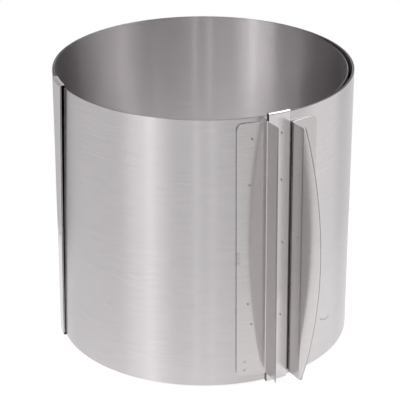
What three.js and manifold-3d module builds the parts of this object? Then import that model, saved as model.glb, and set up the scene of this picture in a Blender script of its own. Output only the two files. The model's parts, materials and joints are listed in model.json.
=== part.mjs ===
// Adjustable cake ring: two bands of thin stainless sheet, curled one inside the other into a
// ring that is open at top and bottom. The inner band slides in two guide strips that are folded
// over the rims at the ends of the outer band, and each band carries an upright pull handle.
// Millimetres, +Z up, handles towards -Y. The ring stands on the folds of its guide strips.
// Angles are in degrees about the ring's axis, from the front (-Y), positive towards +X.

import * as THREE from 'three';
import { mergeVertices } from 'three/addons/utils/BufferGeometryUtils.js';
import Module from 'manifold-3d';

// Bands
const ringDiameter = 160; // over the outer band, with the ring drawn in to its smallest size
const bandHeight = 150;
const sheet = 0.5; // thickness of both bands
const slideGap = 0.15; // between layers that slide on each other
const seatGap = 0.15; // between pieces that are spot-welded face to face
const seamAngle = -97.6; // end of the outer band at mid-height, left of the handles
const seamLean = 12.6; // how far that end leans along the wall from bottom to top
const seamFlareTop = 1.2; // how far it stands off the inner band at the top
const seamFlareBottom = 0.2;
const seamReach = 36; // length of wall over which it leans and stands off
const nearEndAngle = 92.5; // end of the inner band that is tucked in behind the front strip
const tailEndAngle = 30.5; // its other end, after one more turn by way of the left and the back
const tailDip = 1.55; // how far that end's last stretch bows in towards the middle
const tailReturn = 26; // length of wall over which it swings out again past the near end

// Guide strips
const stripWidth = 12.2;
const stripSheet = 0.4;
const stripOverlap = 0.8; // how far a strip covers the end of the outer band
const foldRise = 1.35; // height of a fold above the rim, and its depth below the bottom edge
const foldRadius = 0.75; // middle of the sheet in a fold's two corners
const foldLip = 4; // how far a fold comes back down inside the ring

// Handles
const handleSheet = 0.5;
const plateWidth = 16.2; // from the flange to the free edge of the welded plate
const plateCorner = 3.6; // radius of that edge's corners
const flangeHeight = 10.8; // from the plate to the lip's bend
const flangeLean = 3.7; // degrees that the flange leans away from its plate, past upright
const lipBend = 32; // degrees that the lip turns away from the other handle
const lipEnd = 1.5; // width of the lip at its ends
const lipRise = 9.5; // how much wider it is at mid-height
const bendRadius = 0.7; // middle of the sheet in a handle's bends
const handleInset = 3.5; // from each end of a handle to the band's edge, when it sits centred
const leftHandleRise = 0.9; // how far the left handle sits above the centre
const rightHandleDrop = 1.8; // how far the right handle sits below the centre
const leftHandleGap = 0.15; // between the left handle's flange and the strip, its stop
const rightHandleGap = 0.9; // between the strip and the right handle's flange
const frontLean = 1.2; // how far the front strip and both handles lean along the wall, top to the left

// Fineness of the curves
const facetAngle = 2;
const bendSteps = 4;
const bowSteps = 28;

// Radii that follow from the layers
const outerFace = ringDiameter / 2;
const outerMiddle = outerFace - sheet / 2;
const innerFace = outerFace - sheet - slideGap;
const innerMiddle = innerFace - sheet / 2;
const stripMiddle = outerFace + seatGap + stripSheet / 2;
const lipMiddle = innerFace - sheet - slideGap - stripSheet / 2;
const tailMiddle = lipMiddle - stripSheet / 2 - slideGap - sheet / 2;

const overrun = plateCorner; // how far a cutter reaches past what it cuts

const radians = THREE.MathUtils.degToRad;
const angleOf = (length, radius) => THREE.MathUtils.radToDeg(length / radius);
const stripHalfAngle = angleOf(stripWidth / 2, stripMiddle);
const overlapAngle = angleOf(stripOverlap, stripMiddle);

const steel = {
  band: { color: 0xc4c2c4, metalness: 1, roughness: 0.34 },
  strip: { color: 0xcfccce, metalness: 1, roughness: 0.3 },
  handle: { color: 0xbdbcbe, metalness: 1, roughness: 0.38 },
};

const wasm = await Module();
wasm.setup();

// A closed mesh as a solid that can be cut.
function toSolid(geometry) {
  const bare = geometry.index ? geometry.toNonIndexed() : geometry.clone();
  bare.deleteAttribute('normal');
  bare.deleteAttribute('uv');
  const merged = mergeVertices(bare);
  const mesh = new wasm.Mesh({
    numProp: 3,
    vertProperties: new Float32Array(merged.attributes.position.array),
    triVerts: new Uint32Array(merged.index.array),
  });
  return new wasm.Manifold(mesh);
}

// A solid as a mesh geometry again.
function toGeometry(solid) {
  const mesh = solid.getMesh();
  const geometry = new THREE.BufferGeometry();
  geometry.setAttribute('position', new THREE.BufferAttribute(mesh.vertProperties, 3));
  geometry.setIndex(new THREE.BufferAttribute(mesh.triVerts, 1));
  geometry.computeVertexNormals();
  return geometry;
}

// A point in plan at an angle from the front and a distance from the axis.
function planPoint(angle, radius) {
  return new THREE.Vector2(radius * Math.sin(radians(angle)), -radius * Math.cos(radians(angle)));
}

// The outline of a sheet of even thickness whose middle follows a line of points.
function sheetOutline(points, thickness) {
  const sides = [[], []];
  points.forEach((point, i) => {
    const back = points[Math.max(i - 1, 0)];
    const ahead = points[Math.min(i + 1, points.length - 1)];
    const into = point.clone().sub(back).normalize();
    const out = ahead.clone().sub(point).normalize();
    const run = into.clone().add(out).normalize();
    const turn = Math.abs(run.dot(i === 0 ? out : into));
    const normal = new THREE.Vector2(-run.y, run.x);
    const half = thickness / 2 / turn;
    sides[0].push(point.clone().addScaledVector(normal, half));
    sides[1].unshift(point.clone().addScaledVector(normal, -half));
  });
  return new THREE.Shape([...sides[0], ...sides[1]]);
}

// The same line of points with its named corners rounded to a radius.
function roundCorners(points, corners, radius) {
  return points.flatMap((point, i) => {
    if (!corners.includes(i)) return [point];
    const back = points[i - 1].clone().sub(point).normalize();
    const ahead = points[i + 1].clone().sub(point).normalize();
    const half = Math.acos(THREE.MathUtils.clamp(back.dot(ahead), -1, 1)) / 2;
    const centre = back.clone().add(ahead).normalize().multiplyScalar(radius / Math.sin(half)).add(point);
    const start = back.clone().multiplyScalar(radius / Math.tan(half)).add(point).sub(centre);
    const end = ahead.clone().multiplyScalar(radius / Math.tan(half)).add(point).sub(centre);
    const sweep = Math.atan2(start.cross(end), start.dot(end));
    return Array.from({ length: bendSteps + 1 }, (_, k) => {
      const spoke = start.clone().rotateAround(new THREE.Vector2(), sweep * k / bendSteps);
      return spoke.add(centre);
    });
  });
}

// A section drawn in distance from the axis and height, swept about the axis between two angles.
// shape(angle, radius, height) may move each of its points to another angle and radius.
function sweepAround(section, fromAngle, toAngle, shape) {
  const steps = Math.ceil((toAngle - fromAngle) / facetAngle);
  const geometry = new THREE.ExtrudeGeometry(section, { depth: 1, steps, bevelEnabled: false });
  const place = geometry.attributes.position;
  for (let i = 0; i < place.count; i += 1) {
    const straight = THREE.MathUtils.lerp(toAngle, fromAngle, place.getZ(i));
    const moved = shape(straight, place.getX(i), place.getY(i));
    const spot = planPoint(moved.angle, moved.radius);
    place.setXYZ(i, spot.x, spot.y, place.getY(i));
  }
  return geometry;
}

// A smooth value between the rows of a table of [place, value], level at both ends.
function smoothBetween(table, place) {
  const last = table.length - 1;
  if (place <= table[0][0]) return table[0][1];
  if (place >= table[last][0]) return table[last][1];
  const i = table.findIndex((row) => row[0] > place) - 1;
  const slope = (k) => {
    if (k <= 0 || k >= last) return 0;
    return (table[k + 1][1] - table[k - 1][1]) / (table[k + 1][0] - table[k - 1][0]);
  };
  const span = table[i + 1][0] - table[i][0];
  const t = (place - table[i][0]) / span;
  const rise = table[i + 1][1] - table[i][1];
  const lead = slope(i) * span;
  const trail = slope(i + 1) * span;
  const bend = t * t * (3 * rise - 2 * lead - trail) + t ** 3 * (lead + trail - 2 * rise);
  return table[i][1] + t * lead + bend;
}

// The cut section of a band: its sheet from the bottom edge to the rim.
function bandSection(middle) {
  const line = [new THREE.Vector2(middle, 0), new THREE.Vector2(middle, bandHeight)];
  return sheetOutline(line, sheet);
}

// How far the front strip and the handles are turned about the axis at a height over the bottom edge.
const leanAngle = (height) => angleOf(frontLean, outerMiddle) * (1 / 2 - height / bandHeight);

// The left end of the outer band leans and stands off the inner band. How far grows towards the
// end, and only what lies outside the inner band moves, so that the folds stretch over the gap.
function seamShape(endAngle) {
  return (angle, radius, height) => {
    const reach = angleOf(seamReach, outerMiddle);
    const near = THREE.MathUtils.clamp(1 - Math.abs(angle - endAngle) / reach, 0, 1);
    const up = height / bandHeight;
    const lean = angleOf(seamLean, outerMiddle) * (up - 1 / 2);
    const flare = THREE.MathUtils.lerp(seamFlareBottom, seamFlareTop, up);
    const outside = THREE.MathUtils.clamp((radius - lipMiddle) / (stripMiddle - lipMiddle), 0, 1);
    return { angle: angle + lean * near, radius: radius + flare * near * near * outside };
  };
}

// Outer band: from under the front strip round the right and the back to the seam on the left.
function outerBand() {
  const startAngle = -stripHalfAngle + overlapAngle;
  const endAngle = 360 + seamAngle - overlapAngle;
  const shape = seamShape(360 + seamAngle);
  return sweepAround(bandSection(outerMiddle), startAngle, endAngle, shape);
}

// Inner band: from its near end behind the front strip, past the handles, left and round the
// back, to a tail that runs inside the near end. The strips' lips pass between the two.
function innerBand() {
  const startAngle = tailEndAngle;
  const endAngle = 360 + nearEndAngle;
  const tail = nearEndAngle - tailEndAngle;
  const dipShares = [[0, 0], [0.19, 0.6], [0.4, 0.87], [0.6, 1], [0.84, 0.9], [1, 0.55]];
  const table = dipShares.map(([along, dip]) => [tailEndAngle + tail * along, tailMiddle - tailDip * dip]);
  table.push([nearEndAngle + angleOf(tailReturn, innerMiddle), innerMiddle]);
  const shape = (angle, radius) => {
    const shift = smoothBetween(table, angle) - innerMiddle;
    return { angle, radius: radius + shift };
  };
  return sweepAround(bandSection(innerMiddle), startAngle, endAngle, shape);
}

// The cut section of a guide strip: a wall outside the outer band, folded over the rim and under
// the bottom edge, with a lip inside the ring at both ends.
function stripSection() {
  const top = bandHeight + foldRise - stripSheet / 2;
  const bottom = -foldRise + stripSheet / 2;
  const line = [
    new THREE.Vector2(lipMiddle, foldLip),
    new THREE.Vector2(lipMiddle, bottom),
    new THREE.Vector2(stripMiddle, bottom),
    new THREE.Vector2(stripMiddle, top),
    new THREE.Vector2(lipMiddle, top),
    new THREE.Vector2(lipMiddle, bandHeight - foldLip),
  ];
  return sheetOutline(roundCorners(line, [1, 2, 3, 4], foldRadius), stripSheet);
}

function frontStrip() {
  const shape = (angle, radius, height) => ({ angle: angle + leanAngle(height), radius });
  return sweepAround(stripSection(), -stripHalfAngle, stripHalfAngle, shape);
}

function leftStrip() {
  const endAngle = 360 + seamAngle;
  return sweepAround(stripSection(), endAngle - 2 * stripHalfAngle, endAngle, seamShape(endAngle));
}

// A flat cutter drawn in its own plane, laid so that its first axis runs along a direction in
// plan and its second axis points up, and as thick as twice the overrun.
function uprightCutter(outline, origin, direction, height) {
  const cutter = new THREE.ExtrudeGeometry(outline, { depth: 2 * overrun, bevelEnabled: false });
  const along = new THREE.Vector3(direction.x, direction.y, 0).normalize();
  const up = new THREE.Vector3(0, 0, 1);
  const through = along.clone().cross(up);
  const corner = new THREE.Vector3(origin.x, origin.y, height).addScaledVector(through, -overrun);
  cutter.applyMatrix4(new THREE.Matrix4().makeBasis(along, up, through).setPosition(corner));
  return toSolid(cutter);
}

// What is cut off the lip, so that its free edge is one long bow.
function bowOutline(length) {
  const half = length / 2;
  const bowRadius = (half * half + lipRise * lipRise) / (2 * lipRise);
  const centre = lipEnd + lipRise - bowRadius;
  const spread = Math.asin(half / bowRadius);
  const points = [new THREE.Vector2(lipEnd, -half - overrun)];
  for (let i = 0; i <= bowSteps; i += 1) {
    const turn = spread * (2 * i / bowSteps - 1);
    points.push(new THREE.Vector2(centre + bowRadius * Math.cos(turn), bowRadius * Math.sin(turn)));
  }
  points.push(new THREE.Vector2(lipEnd, half + overrun));
  points.push(new THREE.Vector2(lipEnd + lipRise + overrun, half + overrun));
  points.push(new THREE.Vector2(lipEnd + lipRise + overrun, -half - overrun));
  return new THREE.Shape(points);
}

// What is cut off a plate's corner: the square outside a quarter circle.
function cornerOutline(end) {
  const points = [
    new THREE.Vector2(-overrun, end * overrun),
    new THREE.Vector2(-overrun, -end * plateCorner),
  ];
  for (let i = 0; i <= bendSteps; i += 1) {
    const turn = Math.PI / 2 * i / bendSteps;
    const across = plateCorner * (1 - Math.cos(turn));
    points.push(new THREE.Vector2(across, end * plateCorner * (Math.sin(turn) - 1)));
  }
  points.push(new THREE.Vector2(plateCorner, end * overrun));
  return new THREE.Shape(points);
}

// A pull handle, bent from one sheet: a plate welded to its band, a flange that stands out from
// the ring, and a bow-edged lip at the flange's edge. side is 1 on the right and -1 on the left.
function handle(side, bandFace, stripGap, shiftUp) {
  const plateMiddle = bandFace + seatGap + handleSheet / 2;
  const length = bandHeight - 2 * handleInset;
  const flangeAngle = side * angleOf(stripWidth / 2 + stripGap + handleSheet / 2, plateMiddle);
  const plateAngle = side * angleOf(plateWidth, plateMiddle);
  const flangeWay = flangeAngle - side * flangeLean;
  const tip = planPoint(flangeAngle, plateMiddle).add(planPoint(flangeWay, flangeHeight));
  const lipWay = flangeWay + side * lipBend;
  const plateSteps = Math.ceil(Math.abs(plateAngle) / facetAngle);
  const line = Array.from({ length: plateSteps + 1 }, (_, i) => (
    planPoint(flangeAngle + plateAngle * (1 - i / plateSteps), plateMiddle)
  ));
  line.push(tip, tip.clone().add(planPoint(lipWay, lipEnd + lipRise)));
  const path = roundCorners(line, [plateSteps, plateSteps + 1], bendRadius);
  const outline = sheetOutline(path, handleSheet);
  const bent = new THREE.ExtrudeGeometry(outline, { depth: length, bevelEnabled: false });

  const half = length / 2;
  let solid = toSolid(bent).subtract(uprightCutter(bowOutline(length), tip, planPoint(lipWay, 1), half));
  const inward = planPoint(flangeAngle + plateAngle - side * 90, 1);
  for (const end of [-1, 1]) {
    const height = half + end * half;
    solid = solid.subtract(uprightCutter(cornerOutline(end), line[0], inward, height));
  }
  const geometry = toGeometry(solid);
  geometry.translate(0, 0, handleInset + shiftUp);
  return leaned(geometry);
}

// A handle's upright geometry turned about the axis by the front's lean, height by height.
function leaned(geometry) {
  const place = geometry.attributes.position;
  const spot = new THREE.Vector3();
  const up = new THREE.Vector3(0, 0, 1);
  for (let i = 0; i < place.count; i += 1) {
    spot.fromBufferAttribute(place, i);
    spot.applyAxisAngle(up, radians(leanAngle(spot.z)));
    place.setXYZ(i, spot.x, spot.y, spot.z);
  }
  geometry.computeVertexNormals();
  return geometry;
}

function named(name, geometry, finish) {
  const mesh = new THREE.Mesh(geometry, new THREE.MeshStandardMaterial(finish));
  mesh.name = name;
  return mesh;
}

const outerGroup = new THREE.Group();
outerGroup.add(
  named('outer_band', outerBand(), steel.band),
  named('front_guide_strip', frontStrip(), steel.strip),
  named('left_guide_strip', leftStrip(), steel.strip),
  named('right_handle', handle(1, outerFace, rightHandleGap, -rightHandleDrop), steel.handle),
);

const innerGroup = new THREE.Group();
innerGroup.add(
  named('inner_band', innerBand(), steel.band),
  named('left_handle', handle(-1, innerFace, leftHandleGap, leftHandleRise), steel.handle),
);

// The ring stands on the origin with the middle of its footprint over it.
const cakeRing = new THREE.Group();
cakeRing.add(outerGroup, innerGroup);
const reach = new THREE.Box3().setFromObject(cakeRing, true);
const middle = reach.getCenter(new THREE.Vector3());
cakeRing.position.set(-middle.x, -middle.y, -reach.min.z);
cakeRing.updateMatrixWorld(true);

export default cakeRing;
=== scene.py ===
"""An adjustable cake ring of thin brushed stainless sheet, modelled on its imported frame.

Two bands are curled one inside the other. The outer band, its two folded guide strips and the right
handle stand still. The inner band carries the left handle and slides round inside the outer one.
Lengths are in metres. Angles are in degrees about the ring's upright axis, from the front (-Y),
positive towards +X.
"""

import json
import logging
import math
from collections import Counter
from collections.abc import Callable, Sequence
from dataclasses import dataclass, field
from enum import Enum
from typing import Any

import bpy
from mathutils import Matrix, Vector
from mathutils.kdtree import KDTree


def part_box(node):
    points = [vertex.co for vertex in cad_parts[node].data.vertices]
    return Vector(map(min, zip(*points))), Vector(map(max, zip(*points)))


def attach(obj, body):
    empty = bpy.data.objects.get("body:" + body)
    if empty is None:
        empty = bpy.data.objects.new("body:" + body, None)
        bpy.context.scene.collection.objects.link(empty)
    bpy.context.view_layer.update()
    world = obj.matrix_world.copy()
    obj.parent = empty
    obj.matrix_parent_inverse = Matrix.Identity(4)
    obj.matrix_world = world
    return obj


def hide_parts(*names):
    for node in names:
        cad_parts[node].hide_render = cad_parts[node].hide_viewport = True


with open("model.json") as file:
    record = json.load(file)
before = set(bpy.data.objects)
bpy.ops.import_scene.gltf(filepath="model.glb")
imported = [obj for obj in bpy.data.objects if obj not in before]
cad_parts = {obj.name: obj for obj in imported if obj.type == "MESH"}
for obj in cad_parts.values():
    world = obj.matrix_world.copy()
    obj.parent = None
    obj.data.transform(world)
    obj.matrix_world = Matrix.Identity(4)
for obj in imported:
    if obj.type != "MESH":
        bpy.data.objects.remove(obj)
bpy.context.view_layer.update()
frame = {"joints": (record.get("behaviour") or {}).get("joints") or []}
hinge_place = frame["joints"][0]["pos_m"]

MM = 0.001
UP = Vector((0, 0, 1))
ZENITH = 90.0

# Each handle's flange stands clear of the front strip. The left one's gap is the joint's stop.
LEFT_HANDLE_GAP = 0.15 * MM
RIGHT_HANDLE_GAP = 0.9 * MM

# The map that holds the direction of the brush lines.
GRAIN_MAP = "grain"

# The attribute that tells how near a point is to a darkened cut edge, and where it has fallen to 0.
NEARNESS = "edge_nearness"
NEARNESS_REACH = 2 * MM

# Bends shade smoothly up to this angle between faces, and cut edges are rounded from the other on.
SMOOTH_ANGLE = 12.0
CUT_ANGLE = 50.0
CUT_SEGMENTS = 2

# A face is level, such as a rim's or a fold's top, if its normal has less than this share sideways.
LEVEL_SHARE = 0.3

log = logging.getLogger("cake_ring")


class Body(Enum):
    """The two bodies of the ring that move against each other."""

    OUTER = "outer"
    INNER = "inner"


class Slot(Enum):
    """The finishes that the record names."""

    BAND = "band_steel"
    STRIP = "strip_steel"
    HANDLE = "handle_steel"


class Side(Enum):
    """The side of the front strip that a handle stands on."""

    LEFT = -1
    RIGHT = 1


class Grain(Enum):
    """The way that a sheet's brush lines run."""

    ROUND = "round the ring"
    UPRIGHT = "up the strip and over its folds"


def linear_colour(code: str) -> tuple[float, float, float, float]:
    """Turn an sRGB hex colour into the linear values that a shader takes.

    Args:
        code: Six hex digits, such as "c8c6c8".

    Returns:
        Red, green, blue and alpha.
    """
    shares = [int(code[i : i + 2], 16) / 255 for i in (0, 2, 4)]
    red, green, blue = (s / 12.92 if s <= 0.04045 else ((s + 0.055) / 1.055) ** 2.4 for s in shares)
    return (red, green, blue, 1.0)


def arc_angle(length: float, radius: float) -> float:
    """Return the angle in degrees that a length of wall takes up at a radius."""
    return math.degrees(length / radius)


def plan_way(angle: float) -> Vector:
    """Return the level direction at an angle from the front."""
    turn = math.radians(angle)
    return Vector((math.sin(turn), -math.cos(turn), 0))


def smooth_between(table: Sequence[tuple[float, float]], place: float) -> float:
    """Read a smooth curve that runs through the rows of a table and is level at both ends.

    Args:
        table: Rows of place and value, in rising order of place.
        place: Where the curve is read.

    Returns:
        The value at that place.
    """
    last = len(table) - 1
    if place <= table[0][0]:
        return table[0][1]
    if place >= table[last][0]:
        return table[last][1]
    slopes = [0.0] * len(table)
    for k in range(1, last):
        slopes[k] = (table[k + 1][1] - table[k - 1][1]) / (table[k + 1][0] - table[k - 1][0])
    row = next(i for i in range(last) if table[i + 1][0] > place)
    span = table[row + 1][0] - table[row][0]
    t = (place - table[row][0]) / span
    rise = table[row + 1][1] - table[row][1]
    lead = slopes[row] * span
    trail = slopes[row + 1] * span
    bend = t**2 * (3 * rise - 2 * lead - trail) + t**3 * (lead + trail - 2 * rise)
    return table[row][1] + t * lead + bend


def round_corners(
    points: Sequence[Vector], corners: Sequence[int], radius: float, steps: int
) -> list[Vector]:
    """Replace some corners of a line by arcs.

    Args:
        points: The line's corners and ends.
        corners: Which of them are rounded.
        radius: The arcs' radius.
        steps: How many straight pieces each arc is made of.

    Returns:
        The points of the rounded line.
    """
    line: list[Vector] = []
    for i, point in enumerate(points):
        if i not in corners:
            line.append(point.copy())
            continue
        back = (points[i - 1] - point).normalized()
        ahead = (points[i + 1] - point).normalized()
        half = back.angle(ahead) / 2
        centre = point + (back + ahead).normalized() * radius / math.sin(half)
        start = point + back * radius / math.tan(half) - centre
        end = point + ahead * radius / math.tan(half) - centre
        spokes = (start.normalized().slerp(end.normalized(), k / steps) for k in range(steps + 1))
        line += [centre + spoke * radius for spoke in spokes]
    return line


@dataclass(frozen=True)
class Ring:
    """The ring's axis and its layers, read from the frame and from the sheets that fill it."""

    sheet: float = 0.5 * MM
    slide_gap: float = 0.15 * MM
    seat_gap: float = 0.15 * MM
    strip_sheet: float = 0.4 * MM
    strip_width: float = 12.2 * MM
    strip_overlap: float = 0.8 * MM
    axis: Vector = field(default_factory=lambda: Vector((*hinge_place[:2], 0)))
    bottom: float = field(default_factory=lambda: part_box("outer_band")[0].z)
    top: float = field(default_factory=lambda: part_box("outer_band")[1].z)
    outer_face: float = field(default_factory=lambda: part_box("outer_band")[1].y - hinge_place[1])

    @property
    def height(self) -> float:
        """Height of both bands."""
        return self.top - self.bottom

    @property
    def outer_middle(self) -> float:
        """Middle of the outer band's sheet."""
        return self.outer_face - self.sheet / 2

    @property
    def inner_face(self) -> float:
        """Outside of the inner band."""
        return self.outer_face - self.sheet - self.slide_gap

    @property
    def inner_middle(self) -> float:
        """Middle of the inner band's sheet."""
        return self.inner_face - self.sheet / 2

    @property
    def strip_middle(self) -> float:
        """Middle of a guide strip's wall outside the outer band."""
        return self.outer_face + self.seat_gap + self.strip_sheet / 2

    @property
    def lip_middle(self) -> float:
        """Middle of a guide strip's lips inside the inner band."""
        return self.inner_face - self.sheet - self.slide_gap - self.strip_sheet / 2

    @property
    def tail_middle(self) -> float:
        """Middle of the inner band's tail, inside the lips."""
        return self.lip_middle - self.strip_sheet / 2 - self.slide_gap - self.sheet / 2

    @property
    def strip_turn(self) -> float:
        """Angle that a guide strip takes up."""
        return arc_angle(self.strip_width, self.strip_middle)

    @property
    def overlap_turn(self) -> float:
        """Angle over which a guide strip covers the end of the outer band."""
        return arc_angle(self.strip_overlap, self.strip_middle)

    def point(self, angle: float, radius: float, height: float = 0.0) -> Vector:
        """Return the point at an angle, a distance from the axis and a height over the origin."""
        return self.axis + plan_way(angle) * radius + UP * height

    def polar(self, place: Vector) -> tuple[float, float, float]:
        """Return a point's angle from 0 to 360, its distance from the axis and its height."""
        off = place - self.axis
        return math.degrees(math.atan2(off.x, -off.y)) % 360, math.hypot(off.x, off.y), place.z


@dataclass(frozen=True)
class Lean:
    """The lean of the front strip and both handles, whose tops stand further left than their feet."""

    ring: Ring
    length: float = 1.2 * MM

    def shaped(self, place: Vector) -> Vector:
        """Move a point of an upright piece to where the leaning one has it.

        Args:
            place: A point of the strip or of a handle.

        Returns:
            The moved point.
        """
        angle, radius, height = self.ring.polar(place)
        up = (height - self.ring.bottom) / self.ring.height
        turn = arc_angle(self.length, self.ring.outer_middle) * (0.5 - up)
        return self.ring.point(angle + turn, radius, height)


@dataclass(frozen=True)
class Seam:
    """The outer band's left end, which leans along the wall and stands off the inner band."""

    ring: Ring
    angle: float = 360 - 97.6
    lean: float = 12.6 * MM
    flare_top: float = 1.2 * MM
    flare_bottom: float = 0.2 * MM
    reach: float = 36 * MM

    def shaped(self, place: Vector) -> Vector:
        """Move a point of the upright seam to where the leaning one has it.

        Args:
            place: A point of the band or of its guide strip.

        Returns:
            The moved point.
        """
        ring = self.ring
        angle, radius, height = ring.polar(place)
        near = max(0.0, 1 - abs(angle - self.angle) / arc_angle(self.reach, ring.outer_middle))
        up = (height - ring.bottom) / ring.height
        flare = self.flare_bottom + (self.flare_top - self.flare_bottom) * up
        outside = (radius - ring.lip_middle) / (ring.strip_middle - ring.lip_middle)
        outside = min(max(outside, 0.0), 1.0)
        angle += arc_angle(self.lean, ring.outer_middle) * (up - 0.5) * near
        return ring.point(angle, radius + flare * near**2 * outside, height)


class Nodes:
    """A node tree that is being filled."""

    def __init__(self, tree: bpy.types.NodeTree) -> None:
        """Empty the tree and keep it."""
        self.tree = tree
        tree.nodes.clear()

    def add(self, kind: str, settings: dict[str, Any] | None = None, **links: Any) -> bpy.types.Node:
        """Add a node with its settings and links.

        Args:
            kind: The node's type.
            settings: Its properties.
            **links: Inputs, by name with _ for a space or by place as i0, and what they take: an
                output socket or a value.

        Returns:
            The new node.
        """
        node = self.tree.nodes.new(kind)
        for name, value in (settings or {}).items():
            setattr(node, name, value)
        for name, value in links.items():
            key = int(name[1:]) if name[0] == "i" and name[1:].isdigit() else name.replace("_", " ")
            socket = node.inputs[key]
            if isinstance(value, bpy.types.NodeSocket):
                self.tree.links.new(value, socket)
            else:
                socket.default_value = value
        return node


@dataclass(frozen=True)
class Spot:
    """A small stain on a piece: its middle, how far it reaches and how strong it is."""

    place: Vector
    radius: float
    share: float


@dataclass(frozen=True)
class Mark:
    """A small mark on the ring, in degrees from its front and in mm over the bands' bottom.

    Its reach is in mm too.
    """

    angle: float
    height: float
    reach: float = 0.8
    share: float = 0.5

    def on(self, ring: Ring, radius: float, shaped: Callable[[Vector], Vector] = Vector.copy) -> Spot:
        """Place the mark on a wall.

        Args:
            ring: The ring.
            radius: The wall's distance from the ring's axis.
            shaped: How the wall was bent after it was rolled.

        Returns:
            The mark as a spot in metres.
        """
        place = ring.point(self.angle, radius, ring.bottom + self.height * MM)
        return Spot(shaped(place), self.reach * MM, self.share)


@dataclass(frozen=True)
class BrushedSteel:
    """Cold-rolled stainless sheet with a brushed finish.

    Fine parallel lines blur what the steel reflects across them but hardly along them, so that a
    sheet brushed round the ring shows upright streaks, and one brushed upwards shows level bands.
    Its colour darkens along the cut edges that a piece marks; on a handle's bow this is painted shade.
    """

    name: str
    colour: str
    roughness: float = 0.25
    anisotropy: float = 1.0
    line_height: float = 0.5 * MM
    line_length: float = 10 * MM
    line_share: float = 0.16
    cloud_size: float = 34 * MM
    cloud_share: float = 0.04
    edge_width: float = 0.1 * MM
    edge_share: float = 0.6
    grain: Grain = Grain.ROUND
    noise_detail: float = 2.0
    noise_roughness: float = 0.5
    tint: str = "7d6f66"
    core_share: float = 0.3
    spots: tuple[Spot, ...] = ()

    def material(self) -> bpy.types.Material:
        """Make the material.

        Returns:
            A procedural metal on Object coordinates, with its grain along the map's V direction.
        """
        made = bpy.data.materials.new(self.name)
        made.use_nodes = True
        nodes = Nodes(made.node_tree)
        place = nodes.add("ShaderNodeTexCoord").outputs["Object"]
        base = nodes.add(
            "ShaderNodeMix",
            {"data_type": "RGBA", "blend_type": "MULTIPLY"},
            i0=1.0,
            i6=linear_colour(self.colour),
            i7=self._shade(nodes, place),
        )
        colour = base.outputs[2]
        if self.spots:
            colour = self._stained(nodes, place, colour)
        grain = nodes.add("ShaderNodeTangent", {"direction_type": "UV_MAP", "uv_map": GRAIN_MAP})
        steel = nodes.add(
            "ShaderNodeBsdfPrincipled",
            Base_Color=colour,
            Metallic=1.0,
            Roughness=self.roughness,
            Anisotropic=self.anisotropy,
            Tangent=grain.outputs[0],
        )
        nodes.add("ShaderNodeOutputMaterial", Surface=steel.outputs[0])
        return made

    def _shade(self, nodes: Nodes, place: bpy.types.NodeSocket) -> bpy.types.NodeSocket:
        """Make the brush lines that show, the slow clouds that rolling leaves, and the darkened edges.

        Real lines are about 0.1 mm apart, too fine to show, so they are drawn coarser.

        Args:
            nodes: The tree that they are added to.
            place: Object coordinates.

        Returns:
            A share of the steel's colour, a little under 1 on its faces.
        """
        line, across = 1 / self.line_length, 1 / self.line_height
        size = (line, line, across) if self.grain is Grain.ROUND else (across, across, line)
        stretched = nodes.add("ShaderNodeVectorMath", {"operation": "MULTIPLY"}, i0=place, i1=size)
        noise = {"Detail": self.noise_detail, "Roughness": self.noise_roughness}
        lines = nodes.add("ShaderNodeTexNoise", Vector=stretched.outputs[0], Scale=1.0, **noise)
        clouds = nodes.add("ShaderNodeTexNoise", Vector=place, Scale=1 / self.cloud_size, **noise)
        fine = nodes.add(
            "ShaderNodeMath", {"operation": "MULTIPLY"}, i0=lines.outputs[0], i1=self.line_share
        )
        slow = nodes.add(
            "ShaderNodeMath",
            {"operation": "MULTIPLY_ADD"},
            i0=clouds.outputs[0],
            i1=self.cloud_share,
            i2=fine.outputs[0],
        )
        # Darker colour near the marked cut edges; on a handle's bow it is painted shade.
        nearness = nodes.add("ShaderNodeAttribute", {"attribute_name": NEARNESS}).outputs["Fac"]
        dark_from = 1 - self.edge_width / NEARNESS_REACH
        edge = nodes.add(
            "ShaderNodeMapRange",
            Value=nearness,
            From_Min=dark_from,
            From_Max=(1 + dark_from) / 2,
            To_Max=self.edge_share,
        )
        dark = nodes.add("ShaderNodeMath", {"operation": "ADD"}, i0=slow.outputs[0], i1=edge.outputs[0])
        return nodes.add("ShaderNodeMath", {"operation": "SUBTRACT"}, i0=1.0, i1=dark.outputs[0]).outputs[0]

    def _stained(
        self, nodes: Nodes, place: bpy.types.NodeSocket, colour: bpy.types.NodeSocket
    ) -> bpy.types.NodeSocket:
        """Add the small brown-grey stains that welding heat and handling leave.

        Args:
            nodes: The tree that the stains are added to.
            place: Object coordinates.
            colour: The steel's colour.

        Returns:
            The colour with its stains.
        """
        inside: Any = 0.0
        for spot in self.spots:
            away = nodes.add("ShaderNodeVectorMath", {"operation": "DISTANCE"}, i0=place, i1=spot.place)
            share = nodes.add(
                "ShaderNodeMapRange",
                {"interpolation_type": "SMOOTHSTEP"},
                Value=away.outputs["Value"],
                From_Min=spot.radius,
                From_Max=spot.radius * self.core_share,
                To_Max=spot.share,
            ).outputs[0]
            inside = nodes.add("ShaderNodeMath", {"operation": "MAXIMUM"}, i0=inside, i1=share).outputs[0]
        tint = linear_colour(self.tint)
        return nodes.add("ShaderNodeMix", {"data_type": "RGBA"}, i0=inside, i6=colour, i7=tint).outputs[2]


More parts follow.
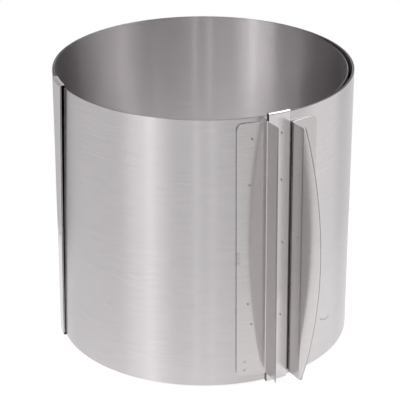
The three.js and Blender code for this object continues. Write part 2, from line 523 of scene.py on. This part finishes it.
class SheetPiece:
    """A piece of sheet metal on the bench, shaped with Blender's own modelling operators."""

    def __init__(self, name: str, ring: Ring) -> None:
        """Lay a small plane at the origin and gather it to one point, from which a line is drawn.

        Args:
            name: The piece's name.
            ring: The ring that it belongs to.
        """
        self.ring = ring
        bpy.ops.object.select_all(action="DESELECT")
        bpy.ops.mesh.primitive_plane_add(size=ring.sheet)
        self.piece = bpy.context.active_object
        self.piece.name = name
        self.piece.data.name = name
        bpy.ops.object.mode_set(mode="EDIT")
        bpy.ops.mesh.select_mode(type="VERT")
        bpy.ops.mesh.merge(type="CENTER")

    def draw_line(self, points: Sequence[Vector]) -> None:
        """Draw a line through points, from the one point that the piece starts as.

        Args:
            points: The line's points, in order.
        """
        bpy.ops.transform.translate(value=points[0])
        for last, point in zip(points, points[1:]):
            bpy.ops.mesh.extrude_vertices_move(TRANSFORM_OT_translate={"value": point - last})
        bpy.ops.mesh.select_all(action="SELECT")

    def spin(self, angle: float, steps: int) -> None:
        """Sweep the drawn line round the ring's axis.

        Args:
            angle: How far, positive towards +X from the front.
            steps: How many straight pieces the sweep is made of.
        """
        bpy.ops.mesh.spin(
            steps=steps, angle=-math.radians(angle), center=self.ring.axis, axis=UP, use_auto_merge=False
        )

    def raise_line(self, height: float, rows: int) -> None:
        """Pull the drawn line upwards into a wall of several rows of faces."""
        for _ in range(rows):
            bpy.ops.mesh.extrude_edges_move(TRANSFORM_OT_translate={"value": UP * height / rows})

    def leave_edit(self) -> None:
        """Turn the faces one way and go back to object mode."""
        bpy.ops.mesh.select_all(action="SELECT")
        bpy.ops.mesh.normals_make_consistent(inside=False)
        bpy.ops.object.mode_set(mode="OBJECT")

    def move_points(self, moved: Callable[[Vector], Vector]) -> None:
        """Bend the sheet by a rule that gives each of its points a new place."""
        for vertex in self.piece.data.vertices:
            vertex.co = moved(vertex.co.copy())

    def _measure_edges(self, is_darkened: Callable[[Vector], bool]) -> None:
        """Give each point its nearness to the sheet's darkened free edges, which is 1 on them.

        Args:
            is_darkened: Which points of the free edges count.
        """
        mesh = self.piece.data
        uses = Counter(key for face in mesh.polygons for key in face.edge_keys)
        free = sorted({index for key, used in uses.items() if used == 1 for index in key})
        free = [index for index in free if is_darkened(mesh.vertices[index].co)]
        tree = KDTree(len(free))
        for index in free:
            tree.insert(mesh.vertices[index].co, index)
        tree.balance()
        nearness = mesh.attributes.new(NEARNESS, "FLOAT", "POINT")
        for vertex in mesh.vertices:
            nearness.data[vertex.index].value = 1 - tree.find(vertex.co)[2] / NEARNESS_REACH

    def thicken(
        self, thickness: float, edge: float, is_darkened: Callable[[Vector], bool] = lambda place: True
    ) -> None:
        """Give the sheet its thickness to both sides, and round its cut edges.

        Args:
            thickness: The sheet's thickness.
            edge: The radius of its deburred edges.
            is_darkened: Which points of its free edges are drawn darker than its faces.
        """
        self._measure_edges(is_darkened)
        bpy.context.view_layer.objects.active = self.piece
        wall = self.piece.modifiers.new("thickness", "SOLIDIFY")
        wall.thickness = thickness
        wall.offset = 0.0
        wall.use_even_offset = True
        bpy.ops.object.modifier_apply(modifier=wall.name)
        soft = self.piece.modifiers.new("deburred_edges", "BEVEL")
        soft.width = edge
        soft.segments = CUT_SEGMENTS
        soft.limit_method = "ANGLE"
        soft.angle_limit = math.radians(CUT_ANGLE)
        bpy.ops.object.modifier_apply(modifier=soft.name)

    def press_welds(
        self, welds: Sequence[Spot], radius: float = 0.7 * MM, depth: float = 0.11 * MM, facets: int = 96
    ) -> None:
        """Press the shallow round dents that spot-welding leaves on the outer face.

        Args:
            welds: The welds' middles on that face.
            radius: The dents' radius.
            depth: Their depth.
            facets: How many faces go round the round-ended electrode that presses them.
        """
        ball = (radius**2 + depth**2) / (2 * depth)
        bpy.ops.object.select_all(action="DESELECT")
        tips = []
        for weld in welds:
            outward = plan_way(self.ring.polar(weld.place)[0])
            bpy.ops.mesh.primitive_uv_sphere_add(
                segments=facets,
                ring_count=facets // 2,
                radius=ball,
                location=weld.place + outward * (ball - depth),
            )
            tips.append(bpy.context.active_object)
        for tip in tips:
            tip.select_set(True)
        bpy.ops.object.join()
        electrode = bpy.context.active_object
        bpy.context.view_layer.objects.active = self.piece
        press = self.piece.modifiers.new("spot_welds", "BOOLEAN")
        press.operation = "DIFFERENCE"
        press.solver = "EXACT"
        press.object = electrode
        bpy.ops.object.modifier_apply(modifier=press.name)
        bpy.data.objects.remove(electrode)

    def lay_grain(self, grain: Grain) -> None:
        """Give the piece a map whose U runs across the brush lines and whose V runs along them.

        Args:
            grain: The way that the lines run.
        """
        mesh = self.piece.data
        while mesh.uv_layers:
            mesh.uv_layers.remove(mesh.uv_layers[0])
        layer = mesh.uv_layers.new(name=GRAIN_MAP)
        for face in mesh.polygons:
            along = UP.cross(face.normal)
            if along.length < LEVEL_SHARE or grain is Grain.UPRIGHT:
                angle = math.radians(self.ring.polar(face.center)[0])
                along = Vector((math.cos(angle), math.sin(angle), 0))
            along.normalize()
            across = face.normal.cross(along)
            if grain is Grain.UPRIGHT:
                along, across = across, along
            for corner in face.loop_indices:
                place = mesh.vertices[mesh.loops[corner].vertex_index].co
                layer.data[corner].uv = (place.dot(across), place.dot(along))

    def dress(self, finish: BrushedSteel, body: Body, slot: Slot, node: str) -> None:
        """Smooth, coat and mount the finished piece.

        Args:
            finish: Its steel.
            body: The body that it moves with.
            slot: The record's name for its finish. Not used.
            node: The frame's node that it stands for.
        """
        self.lay_grain(finish.grain)
        bpy.ops.object.select_all(action="DESELECT")
        self.piece.select_set(True)
        bpy.context.view_layer.objects.active = self.piece
        bpy.ops.object.shade_smooth_by_angle(angle=math.radians(SMOOTH_ANGLE))
        self.piece.data.materials.clear()
        self.piece.data.materials.append(finish.material())
        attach(self.piece, body.value)
        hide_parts(node)
        log.info("%s: %d faces", self.piece.name, len(self.piece.data.polygons))


@dataclass
class Bands:
    """The two bands of rolled sheet.

    The tail's shares are rows of how far along it a point is and how much of the dip it has. The
    scratch is a bow that runs from scratch_left to scratch_right degrees beside its lowest point.
    """

    ring: Ring
    seam: Seam
    near_end_angle: float = 92.5
    tail_end_angle: float = 30.5
    tail_dip: float = 1.55 * MM
    tail_return: float = 26 * MM
    tail_dip_shares: tuple[tuple[float, float], ...] = (
        (0, 0),
        (0.19, 0.6),
        (0.4, 0.87),
        (0.6, 1),
        (0.84, 0.9),
        (1, 0.55),
    )
    edge: float = 0.08 * MM
    facet: float = 1.0
    rows: int = 12
    colour: str = "cfcbcc"
    stains: tuple[Mark, ...] = (
        Mark(-70.6, 43.2, 0.9, 0.2),
        Mark(-67.0, 39.6, 0.9, 0.25),
        Mark(-39.6, 71.2, 0.7, 0.2),
        Mark(-32.2, 47.2, 0.7, 0.2),
        Mark(-29.9, 55.0, 0.6, 0.25),
    )
    scratch: Mark = Mark(27.1, 21.5, 0.75, 0.5)
    scratch_left: float = -4.0
    scratch_right: float = 2.0
    scratch_bend: float = 0.14
    scratch_dots: int = 10

    def _scratch_spots(self) -> tuple[Spot, ...]:
        """Draw the short curved scratch low on the outer band.

        Returns:
            The dots that it is drawn with.
        """
        middle = self.scratch
        step = (self.scratch_right - self.scratch_left) / (self.scratch_dots - 1)
        steps = [self.scratch_left + step * k for k in range(self.scratch_dots)]
        marks = [
            Mark(middle.angle + a, middle.height + self.scratch_bend * a * a, middle.reach, middle.share)
            for a in steps
        ]
        return tuple(mark.on(self.ring, self.ring.outer_face) for mark in marks)

    def build_outer(self) -> None:
        """Model the outer band, from under the front strip to the seam on the left."""
        ring = self.ring
        start = ring.overlap_turn - ring.strip_turn / 2
        turn = self.seam.angle - ring.overlap_turn - start
        step = ring.height / self.rows
        levels = [ring.bottom + step * i for i in range(self.rows + 1)]
        band = SheetPiece("outer_band_sheet", ring)
        band.draw_line([ring.point(start, ring.outer_middle, level) for level in levels])
        band.spin(turn, math.ceil(turn / self.facet))
        band.leave_edit()
        band.move_points(self.seam.shaped)
        band.thicken(ring.sheet, self.edge, self._on_rim)
        steel = BrushedSteel("brushed_stainless_outer_band", self.colour, spots=self._scratch_spots())
        band.dress(steel, Body.OUTER, Slot.BAND, "outer_band")

    def build_inner(self) -> None:
        """Model the inner band, whose tail runs once more inside its near end."""
        ring = self.ring
        turn = 360 + self.near_end_angle - self.tail_end_angle
        steps = math.ceil(turn / self.facet)
        table = self._tail_table()
        angles = [self.tail_end_angle + turn * i / steps for i in range(steps + 1)]
        band = SheetPiece("inner_band_sheet", ring)
        band.draw_line([ring.point(angle, smooth_between(table, angle), ring.bottom) for angle in angles])
        band.raise_line(ring.height, self.rows)
        band.leave_edit()
        band.thicken(ring.sheet, self.edge)
        stains = tuple(mark.on(ring, ring.inner_face) for mark in self.stains)
        steel = BrushedSteel("brushed_stainless_inner_band", self.colour, spots=stains)
        band.dress(steel, Body.INNER, Slot.BAND, "inner_band")

    def _on_rim(self, place: Vector) -> bool:
        """Tell whether a point is on a rim. The rims are drawn darker, and the edge at the seam is not."""
        return min(abs(place.z - self.ring.bottom), abs(place.z - self.ring.top)) < self.edge

    def _tail_table(self) -> list[tuple[float, float]]:
        """Bow the tail in, and let it swing out past the near end.

        Returns:
            Rows of angle and distance from the axis, in rising order of angle.
        """
        ring = self.ring
        span = self.near_end_angle - self.tail_end_angle
        table = [
            (self.tail_end_angle + span * along, ring.tail_middle - self.tail_dip * dip)
            for along, dip in self.tail_dip_shares
        ]
        back = self.near_end_angle + arc_angle(self.tail_return, ring.inner_middle)
        return [*table, (back, ring.inner_middle)]


@dataclass
class GuideStrips:
    """The two upright strips that are folded over the rims and hold the bands together."""

    ring: Ring
    seam: Seam
    lean: Lean
    fold_rise: float = 1.35 * MM
    fold_radius: float = 0.75 * MM
    fold_lip: float = 4 * MM
    fold_steps: int = 8
    edge: float = 0.07 * MM
    facet: float = 0.8
    rows: int = 12
    roughness: float = 0.2
    # Lighter than the bands' steel so that the strips render brighter: painted light.
    colour: str = "dfdbdc"
    front_welds: tuple[Mark, ...] = (Mark(0.5, 140), Mark(0.8, 114.5), Mark(1.8, 79), Mark(1.6, 37.5))
    left_welds: tuple[Mark, ...] = (Mark(256.9, 128), Mark(257.4, 92), Mark(257.2, 48))
    # The notch isn't cut: a dark spot painted on the strip is painted shade for its hollow.
    notch_shade: Mark = Mark(261.2, 63.4, 1.2, 0.95)

    def _section(self, angle: float) -> list[Vector]:
        """Draw the strip's cut line, from lip to lip by way of the outer wall.

        Args:
            angle: Where round the ring the line stands.

        Returns:
            The line's points.
        """
        ring = self.ring
        top = ring.top + self.fold_rise - ring.strip_sheet / 2
        bottom = ring.bottom - self.fold_rise + ring.strip_sheet / 2
        corners = [
            (ring.lip_middle, ring.bottom + self.fold_lip),
            (ring.lip_middle, bottom),
            (ring.strip_middle, bottom),
            (ring.strip_middle, top),
            (ring.lip_middle, top),
            (ring.lip_middle, ring.top - self.fold_lip),
        ]
        sharp = [Vector((radius, 0, height)) for radius, height in corners]
        line = round_corners(sharp, (1, 2, 3, 4), self.fold_radius, self.fold_steps)
        wall = next(i for i, (a, b) in enumerate(zip(line, line[1:])) if (b - a).length > ring.height / 2)
        rise = line[wall + 1] - line[wall]
        line[wall + 1 : wall + 1] = [line[wall] + rise * k / self.rows for k in range(1, self.rows)]
        return [ring.point(angle, spot.x, spot.z) for spot in line]

    def _folded(self, name: str, start: float) -> SheetPiece:
        """Fold a strip over both edges of the bands.

        Args:
            name: The piece's name.
            start: The angle of its left edge.

        Returns:
            The strip, without its thickness yet.
        """
        turn = self.ring.strip_turn
        strip = SheetPiece(name, self.ring)
        strip.draw_line(self._section(start))
        strip.spin(turn, math.ceil(turn / self.facet))
        strip.leave_edit()
        return strip

    def _on_lip(self, place: Vector) -> bool:
        """Tell whether a point is on a lip inside the ring. Only the left strip's lips are drawn darker."""
        return self.ring.polar(place)[1] < self.ring.inner_middle

    def build_front(self) -> None:
        """Model the strip between the two handles."""
        strip = self._folded("front_guide_strip_sheet", -self.ring.strip_turn / 2)
        strip.move_points(self.lean.shaped)
        strip.thicken(self.ring.strip_sheet, self.edge)
        face = self.ring.strip_middle + self.ring.strip_sheet / 2
        welds = tuple(mark.on(self.ring, face) for mark in self.front_welds)
        strip.press_welds(welds)
        steel = BrushedSteel(
            "brushed_stainless_front_strip", self.colour, self.roughness, grain=Grain.UPRIGHT, spots=welds
        )
        strip.dress(steel, Body.OUTER, Slot.STRIP, "front_guide_strip")

    def build_left(self) -> None:
        """Model the strip at the seam on the left."""
        strip = self._folded("left_guide_strip_sheet", self.seam.angle - self.ring.strip_turn)
        strip.move_points(self.seam.shaped)
        strip.thicken(self.ring.strip_sheet, self.edge, self._on_lip)
        face = self.ring.strip_middle + self.ring.strip_sheet / 2
        welds = tuple(mark.on(self.ring, face, self.seam.shaped) for mark in self.left_welds)
        strip.press_welds(welds)
        # Painted shade where the notch is.
        notch_shade = self.notch_shade.on(self.ring, face, self.seam.shaped)
        steel = BrushedSteel(
            "brushed_stainless_left_strip",
            self.colour,
            self.roughness,
            grain=Grain.UPRIGHT,
            spots=(*welds, notch_shade),
        )
        strip.dress(steel, Body.OUTER, Slot.STRIP, "left_guide_strip")


@dataclass
class Handle:
    """A pull handle, bent from one sheet: a welded plate, a flange and a lip with a bowed edge.

    Each weld mark and stain is a distance from the flange and a height over the bands' bottom, both
    in mm. The room shares keep the plate's corners clear of the next row and column of faces.
    """

    ring: Ring
    lean: Lean
    side: Side
    band_face: float
    strip_gap: float
    node: str
    sheet: float = 0.5 * MM
    plate_width: float = 16.2 * MM
    plate_corner: float = 3.6 * MM
    flange_height: float = 10.8 * MM
    flange_lean: float = 3.7
    lip_bend: float = 32.0
    lip_end: float = 1.5 * MM
    lip_rise: float = 9.5 * MM
    bend_radius: float = 0.7 * MM
    edge: float = 0.09 * MM
    roughness: float = 0.21
    # The dark line along the lip's bow is painted shade, for the shaded cut edge and gap behind it.
    edge_width: float = 0.3 * MM
    edge_share: float = 0.45
    bend_steps: int = 9
    corner_steps: int = 7
    column_room_share: float = 1.1
    row_room_share: float = 1.02
    lip_columns: int = 8
    colour: str = "d0cccc"
    weld_reach: float = 1.1
    weld_share: float = 0.32
    stain_reach: float = 1.8
    stain_share: float = 0.2
    weld_marks: tuple[tuple[float, float], ...] = (
        (8.1, 139),
        (9.1, 114),
        (8.5, 83),
        (9.9, 47),
        (8.1, 35),
        (11.6, 13),
        (11.8, 8),
    )
    edge_stains: tuple[tuple[float, float], ...] = ((15.5, 71.5), (15.5, 74), (15.5, 76.5))
    bottom: float = field(init=False)
    top: float = field(init=False)
    plate_middle: float = field(init=False)
    flange_angle: float = field(init=False)
    tip: Vector = field(init=False)
    lip_way: Vector = field(init=False)

    def __post_init__(self) -> None:
        """Work out the handle's place from its node and from what it is welded to."""
        self.bottom, self.top = (corner.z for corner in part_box(self.node))
        self.plate_middle = self.band_face + self.ring.seat_gap + self.sheet / 2
        reach = self.ring.strip_width / 2 + self.strip_gap + self.sheet / 2
        self.flange_angle = self.side.value * arc_angle(reach, self.plate_middle)
        flange_turn = self.flange_angle - self.side.value * self.flange_lean
        root = self.ring.point(self.flange_angle, self.plate_middle, self.bottom)
        self.tip = root + plan_way(flange_turn) * self.flange_height
        self.lip_way = plan_way(flange_turn + self.side.value * self.lip_bend)

    @property
    def length(self) -> float:
        """The handle's height from end to end."""
        return self.top - self.bottom

    def _on_plate(self, across: float, height: float, reach: float, share: float) -> Spot:
        """Place a mark on the plate's face.

        Args:
            across: Its distance from the flange, in mm.
            height: Its height over the bands' bottom, in mm.
            reach: How far it reaches, in mm.
            share: How strong it is.

        Returns:
            The mark as a spot in metres.
        """
        away = arc_angle(across * MM, self.plate_middle)
        face = self._flat_radius(away) + self.sheet / 2
        mark = Mark(self.flange_angle + self.side.value * away, height, reach, share)
        return mark.on(self.ring, face, self.lean.shaped)

    def _flat_radius(self, away: float) -> float:
        """Return the flat plate's distance from the ring's axis, at an angle from the flange."""
        middle = arc_angle(self.plate_width, self.plate_middle) / 2
        return self.plate_middle / math.cos(math.radians(away - middle))

    def _plan(self) -> list[Vector]:
        """Draw the handle's line in plan, from the plate's free edge to the lip's widest edge.

        The plate is flat and touches the band at its middle, so that its edges stand off a little.

        Returns:
            The line's points.
        """
        ring = self.ring
        width = arc_angle(self.plate_width, self.plate_middle)
        corner = arc_angle(self.plate_corner * self.column_room_share, self.plate_middle)
        steps = math.ceil(width - corner)
        angles = [width] + [(width - corner) * (1 - k / steps) for k in range(steps + 1)]
        plate = [
            ring.point(self.flange_angle + self.side.value * angle, self._flat_radius(angle), self.bottom)
            for angle in angles
        ]
        line = [*plate, self.tip, self.tip + self.lip_way * (self.lip_end + self.lip_rise)]
        root = len(plate) - 1
        line = round_corners(line, (root, root + 1), self.bend_radius, self.bend_steps)
        last = line[-1] - line[-2]
        line[-1:] = [line[-2] + last * k / self.lip_columns for k in range(1, self.lip_columns + 1)]
        return line

    def _bowed(self, place: Vector) -> Vector:
        """Draw a point of the lip in, so that the lip's free edge is one long bow.

        Args:
            place: A point of the handle.

        Returns:
            The moved point, or the same one where it isn't on the lip.
        """
        off = place - self.tip
        off.z = 0
        start = self.bend_radius * math.tan(math.radians(self.lip_bend) / 2)
        across = off.dot(self.lip_way)
        if across <= start or (off - self.lip_way * across).length > self.sheet:
            return place
        half = self.length / 2
        bow = (half**2 + self.lip_rise**2) / (2 * self.lip_rise)
        up = place.z - self.bottom - half
        width = self.lip_end + self.lip_rise - bow + math.sqrt(bow**2 - up**2)
        full = self.lip_end + self.lip_rise
        share = (across - start) / (full - start)
        return place + self.lip_way * (start + share * (width - start) - across)

    def _on_bow(self, place: Vector) -> bool:
        """Tell whether a point of the free edges is on the lip's bow, which gets a line of painted shade.
        """
        return (place - self.tip).xy.dot(self.lip_way.xy) > self.lip_end / 2

    def _round_plate(self, mesh: bpy.types.Mesh) -> None:
        """Round the two corners of the plate's free edge.

        Args:
            mesh: The handle's sheet, before it leans and has its thickness.
        """
        edge = self._plan()[0]
        bpy.ops.object.mode_set(mode="EDIT")
        bpy.ops.mesh.select_all(action="DESELECT")
        bpy.ops.object.mode_set(mode="OBJECT")
        for vertex in mesh.vertices:
            at_edge = (vertex.co.xy - edge.xy).length < self.edge
            at_end = min(abs(vertex.co.z - self.bottom), abs(vertex.co.z - self.top)) < self.edge
            vertex.select = at_edge and at_end
        bpy.ops.object.mode_set(mode="EDIT")
        bpy.ops.mesh.bevel(offset=self.plate_corner, segments=self.corner_steps, affect="VERTICES")
        bpy.ops.object.mode_set(mode="OBJECT")

    def build(self, body: Body) -> None:
        """Model the handle and mount it.

        Args:
            body: The body that carries it.
        """
        blank = SheetPiece(f"{self.node}_sheet", self.ring)
        blank.draw_line(self._plan())
        blank.raise_line(self.length, int(self.length / (self.plate_corner * self.row_room_share)))
        blank.leave_edit()
        blank.move_points(self._bowed)
        self._round_plate(blank.piece.data)
        blank.move_points(self.lean.shaped)
        # The bow's edge gets its line of painted shade.
        blank.thicken(self.sheet, self.edge, self._on_bow)
        welds = [self._on_plate(*place, self.weld_reach, self.weld_share) for place in self.weld_marks]
        blank.press_welds(welds)
        stains = [self._on_plate(*place, self.stain_reach, self.stain_share) for place in self.edge_stains]
        steel = BrushedSteel(
            f"brushed_stainless_{self.node}",
            self.colour,
            self.roughness,
            edge_width=self.edge_width,
            edge_share=self.edge_share,
            spots=(*welds, *stains),
        )
        blank.dress(steel, body, Slot.HANDLE, self.node)


@dataclass(frozen=True)
class Panel:
    """A soft upright patch of the studio that the steel reflects, seen from the ring.

    Its azimuth is in degrees from the camera, positive to the right, and its lowest and highest
    elevations are in degrees over the horizon. Its gain is added to the studio's level, so that a
    dark flag has a negative one.
    """

    name: str
    azimuth: float
    half_width: float
    softness: float
    gain: float
    lowest: float = -ZENITH
    highest: float = ZENITH
    rise_softness: float = 6.0


@dataclass
class Studio:
    """The pale floor, the soft light round the ring and the camera."""

    ring: Ring
    camera_azimuth: float = -28.5
    camera_distance: float = 869.4 * MM
    camera_height: float = 468.7 * MM
    camera_tilt: float = 24.59
    camera_pan: float = 0.115
    lens: float = 156.5
    nearest_share: float = 0.01
    farthest_share: float = 10.0
    floor_radius: float = 170 * MM
    floor_facets: int = 180
    floor_colour: str = "f8f8f8"
    floor_glow_share: float = 0.8
    level: float = 1.0
    panels: tuple[Panel, ...] = (
        Panel("dark room", 0, 220, 10, -0.9, lowest=-12, highest=12),
        Panel("foot of the left softbox", -45, 17, 8, 0.4, lowest=-12, highest=12),
        Panel("dim floor on the left", -150, 24, 8, -0.35, highest=-12),
        Panel("pale shelf on the right", 101, 17, 8, 1.0, lowest=-12, highest=12),
        Panel("pale shelf behind", 180, 30, 8, 0.4, lowest=-12, highest=12),
        Panel("dark door in front", 20, 50, 6, -0.97, lowest=12, highest=24.5, rise_softness=3),
        Panel("lower wall on the left", -85, 22, 6, 2.1, lowest=12, highest=24.5, rise_softness=3),
        Panel("upper wall on the left", -88, 27, 6, 0.1, lowest=24.5, highest=42, rise_softness=3),
        Panel("dark corner on the left", -137, 23, 6, -0.9, lowest=24.5, highest=66, rise_softness=3),
        Panel("dark ceiling on the left", -88, 27, 8, -0.95, lowest=42, highest=66),
        Panel("low part of the left softbox", -44, 17, 6, 2.6, lowest=12, highest=24.5, rise_softness=3),
        Panel("left softbox", -44, 17, 6, 2.8, lowest=24.5, highest=66, rise_softness=3),
        Panel("left edge of the left softbox", -48, 11, 0.8, 2.2, lowest=14, highest=42),
        Panel("lamp in the left softbox", -41, 2.5, 0.8, 5.5, lowest=14, highest=42),
        Panel("window in front", -3, 24, 6, 1.9, lowest=24.5, highest=42, rise_softness=3),
        Panel("gap in the curtain", -5, 1.3, 0.8, 7.0, lowest=14, highest=38),
        Panel("second gap in the curtain", 7, 1.3, 0.8, 6.0, lowest=14, highest=38),
        Panel("dark curtain", 39, 17, 6, -0.35, lowest=24.5, highest=42, rise_softness=3),
        Panel("low part of the right softbox", 80, 11, 5, 1.4, lowest=12, highest=24.5, rise_softness=3),
        Panel("right softbox", 73, 17, 6, 3.4, lowest=24.5, highest=66, rise_softness=3),
        Panel("lamp in the right softbox", 68, 4, 3, 1.5, lowest=14, highest=60),
        Panel("low part of the right window", 105, 15, 6, 1.4, lowest=12, highest=24.5, rise_softness=3),
        Panel("right window", 105, 15, 6, 2.6, lowest=24.5, highest=42, rise_softness=3),
        Panel("top of the right window", 118, 28, 8, 3.6, lowest=42, highest=66),
        Panel("dark wall behind", 180, 20, 6, -0.95, lowest=24.5, highest=42, rise_softness=3),
        Panel("dark ceiling behind", 180, 32, 8, -0.95, lowest=42, highest=66),
        Panel("pale ceiling", 0, 220, 10, 2.2, lowest=66),
    )

    def build_floor(self) -> None:
        """Lay a round white table top that keeps the ring's shadow.

        A share of what the camera and the steel see of it is its own white glow, which lights nothing.
        """
        bpy.ops.object.select_all(action="DESELECT")
        bpy.ops.mesh.primitive_circle_add(
            vertices=self.floor_facets,
            radius=self.floor_radius,
            fill_type="NGON",
            location=self.ring.axis,
        )
        floor = bpy.context.active_object
        floor.name = "floor"
        made = bpy.data.materials.new("matt_white_table")
        made.use_nodes = True
        nodes = Nodes(made.node_tree)
        matt = nodes.add("ShaderNodeBsdfDiffuse", Color=linear_colour(self.floor_colour))
        lit = nodes.add("ShaderNodeEmission", Color=(1, 1, 1, 1), Strength=1.0)
        path = nodes.add("ShaderNodeLightPath")
        mirrored = nodes.add(
            "ShaderNodeMath",
            {"operation": "MAXIMUM"},
            i0=path.outputs["Is Glossy Ray"],
            i1=path.outputs["Is Transmission Ray"],
        )
        shown = nodes.add(
            "ShaderNodeMath",
            {"operation": "MAXIMUM"},
            i0=path.outputs["Is Camera Ray"],
            i1=mirrored.outputs[0],
        )
        share = nodes.add(
            "ShaderNodeMath", {"operation": "MULTIPLY"}, i0=shown.outputs[0], i1=self.floor_glow_share
        )
        mix = nodes.add("ShaderNodeMixShader", i0=share.outputs[0], i1=matt.outputs[0], i2=lit.outputs[0])
        nodes.add("ShaderNodeOutputMaterial", Surface=mix.outputs[0])
        made.cycles.emission_sampling = "NONE"
        floor.data.materials.append(made)

    def build_light(self) -> None:
        """Set the world: white behind the ring, and the soft panels in what it reflects."""
        world = bpy.data.worlds.new("studio")
        bpy.context.scene.world = world
        world.use_nodes = True
        nodes = Nodes(world.node_tree)
        way = nodes.add("ShaderNodeTexCoord").outputs["Generated"]
        turned = nodes.add(
            "ShaderNodeVectorRotate",
            {"rotation_type": "Z_AXIS"},
            Vector=way,
            Angle=-math.radians(self.camera_azimuth),
        )
        parts = nodes.add("ShaderNodeSeparateXYZ", Vector=turned.outputs[0])
        front = nodes.add("ShaderNodeMath", {"operation": "MULTIPLY"}, i0=parts.outputs["Y"], i1=-1.0)
        azimuth = nodes.add(
            "ShaderNodeMath", {"operation": "ARCTAN2"}, i0=parts.outputs["X"], i1=front.outputs[0]
        )
        height = nodes.add("ShaderNodeMath", {"operation": "ARCSINE"}, i0=parts.outputs["Z"])
        total: Any = self.level
        for panel in self.panels:
            lit = self._panel(nodes, panel, azimuth.outputs[0], height.outputs[0])
            total = nodes.add("ShaderNodeMath", {"operation": "ADD"}, i0=total, i1=lit).outputs[0]
        total = nodes.add("ShaderNodeMath", {"operation": "MAXIMUM"}, i0=total, i1=0.0).outputs[0]
        path = nodes.add("ShaderNodeLightPath")
        seen = nodes.add(
            "ShaderNodeMix", {"data_type": "FLOAT"}, i0=path.outputs["Is Camera Ray"], i2=total, i3=1.0
        )
        light = nodes.add("ShaderNodeBackground", Color=(1, 1, 1, 1), Strength=seen.outputs[0])
        nodes.add("ShaderNodeOutputWorld", Surface=light.outputs[0])

    def _panel(
        self, nodes: Nodes, panel: Panel, azimuth: bpy.types.NodeSocket, height: bpy.types.NodeSocket
    ) -> bpy.types.NodeSocket:
        """Add one panel to the world.

        Args:
            nodes: The world's nodes.
            panel: The panel.
            azimuth: The direction's azimuth from the camera, in radians.
            height: Its height over the horizon, in radians.

        Returns:
            The panel's gain in each direction.
        """
        middle = math.radians(panel.azimuth)
        off = nodes.add("ShaderNodeMath", {"operation": "SUBTRACT"}, i0=azimuth, i1=middle)
        near = nodes.add(
            "ShaderNodeMath", {"operation": "WRAP"}, i0=off.outputs[0], i1=math.pi, i2=-math.pi
        )
        away = nodes.add("ShaderNodeMath", {"operation": "ABSOLUTE"}, i0=near.outputs[0]).outputs[0]
        half, soft = panel.half_width, panel.softness
        share = self._fade(nodes, away, half + soft, half - soft)
        for bound, sign in ((panel.lowest, 1), (panel.highest, -1)):
            if abs(bound) < ZENITH:
                step = sign * panel.rise_softness
                edge = self._fade(nodes, height, bound - step, bound + step)
                share = nodes.add("ShaderNodeMath", {"operation": "MULTIPLY"}, i0=share, i1=edge).outputs[0]
        return nodes.add("ShaderNodeMath", {"operation": "MULTIPLY"}, i0=share, i1=panel.gain).outputs[0]

    def _fade(
        self, nodes: Nodes, value: bpy.types.NodeSocket, none: float, full: float
    ) -> bpy.types.NodeSocket:
        """Fade a panel's edge.

        Args:
            nodes: The world's nodes.
            value: The angle that it fades by, in radians.
            none: The angle at which there is nothing of the panel, in degrees.
            full: The angle at which it is full, in degrees.

        Returns:
            The panel's share, from 0 to 1.
        """
        fade = nodes.add(
            "ShaderNodeMapRange",
            {"interpolation_type": "SMOOTHSTEP"},
            Value=value,
            From_Min=math.radians(none),
            From_Max=math.radians(full),
        )
        return fade.outputs[0]

    def build_camera(self) -> None:
        """Set the camera where the photograph was taken from."""
        lens = bpy.data.cameras.new("camera")
        lens.lens = self.lens
        lens.clip_start = self.camera_distance * self.nearest_share
        lens.clip_end = self.camera_distance * self.farthest_share
        camera = bpy.data.objects.new("camera", lens)
        bpy.context.scene.collection.objects.link(camera)
        camera.location = self.ring.point(
            self.camera_azimuth, self.camera_distance, self.ring.bottom + self.camera_height
        )
        turn = math.radians(self.camera_azimuth + self.camera_pan)
        tilt = math.radians(self.camera_tilt)
        ahead = Vector((-math.sin(turn) * math.cos(tilt), math.cos(turn) * math.cos(tilt), -math.sin(tilt)))
        camera.rotation_euler = ahead.to_track_quat("-Z", "Y").to_euler()
        bpy.context.scene.camera = camera
        bpy.context.scene.view_settings.view_transform = "Standard"


def main() -> None:
    """Build the ring and its studio."""
    logging.basicConfig(level=logging.INFO, format="%(name)s: %(message)s")
    ring = Ring()
    seam = Seam(ring)
    lean = Lean(ring)
    bands = Bands(ring, seam)
    bands.build_outer()
    bands.build_inner()
    strips = GuideStrips(ring, seam, lean)
    strips.build_front()
    strips.build_left()
    left = Handle(ring, lean, Side.LEFT, ring.inner_face, LEFT_HANDLE_GAP, "left_handle")
    left.build(Body.INNER)
    right = Handle(ring, lean, Side.RIGHT, ring.outer_face, RIGHT_HANDLE_GAP, "right_handle")
    right.build(Body.OUTER)
    studio = Studio(ring)
    studio.build_floor()
    studio.build_light()
    studio.build_camera()


if __name__ == "__main__":
    main()
